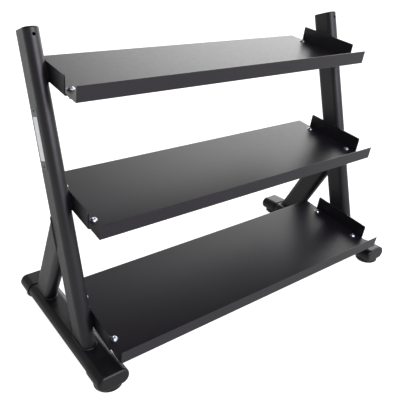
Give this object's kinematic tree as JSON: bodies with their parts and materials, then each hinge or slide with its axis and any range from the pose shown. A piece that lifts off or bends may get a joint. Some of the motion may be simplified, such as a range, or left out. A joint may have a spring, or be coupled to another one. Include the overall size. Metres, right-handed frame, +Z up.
{
  "type": "dumbbell rack",
  "caption": "Free-standing rack with sloping steel trays between two leaning flat-oval tube side frames, for storing dumbbells in a gym.",
  "frame": {"origin": "on the floor, midway between the two side frames and midway between the front and rear boot noses", "axes": "+X to the right along the trays as seen from the front, -Y towards the person taking a dumbbell, +Z up"},
  "size_m": [1.376, 0.6732, 1.0201],
  "materials": {
    "powder_coat": "satin black powder coat with a fine texture",
    "tray_coat": "smooth satin black powder coat on folded sheet",
    "zinc": "bright zinc plate",
    "boot_plastic": "moulded black plastic with a light grain",
    "sole_rubber": "black rubber",
    "cap_plastic": "moulded black plastic",
    "plate_aluminium": "satin grey anodised sheet",
    "rivet_black": "black painted"
  },
  "bodies": {
    "root": {"left_base_rail": "powder_coat", "right_base_rail": "powder_coat", "left_upright": "powder_coat", "right_upright": "powder_coat", "left_rear_brace": "powder_coat", "right_rear_brace": "powder_coat", "upper_left_bracket": "powder_coat", "upper_right_bracket": "powder_coat", "middle_left_bracket": "powder_coat", "middle_right_bracket": "powder_coat", "lower_left_bracket": "powder_coat", "lower_right_bracket": "powder_coat", "upper_tray": "tray_coat", "middle_tray": "tray_coat", "lower_tray": "tray_coat", "upper_tray_bolts": "zinc", "middle_tray_bolts": "zinc", "lower_tray_bolts": "zinc", "upper_tray_washers": "zinc", "middle_tray_washers": "zinc", "lower_tray_washers": "zinc", "upper_tray_nuts": "zinc", "middle_tray_nuts": "zinc", "lower_tray_nuts": "zinc", "left_front_boot": "boot_plastic", "right_front_boot": "boot_plastic", "left_rear_boot": "boot_plastic", "right_rear_boot": "boot_plastic", "foot_soles": "sole_rubber", "left_upright_cap": "cap_plastic", "right_upright_cap": "cap_plastic", "left_nameplate": "plate_aluminium", "right_nameplate": "plate_aluminium", "left_nameplate_rivets": "rivet_black", "right_nameplate_rivets": "rivet_black"}
  },
  "joints": []
}
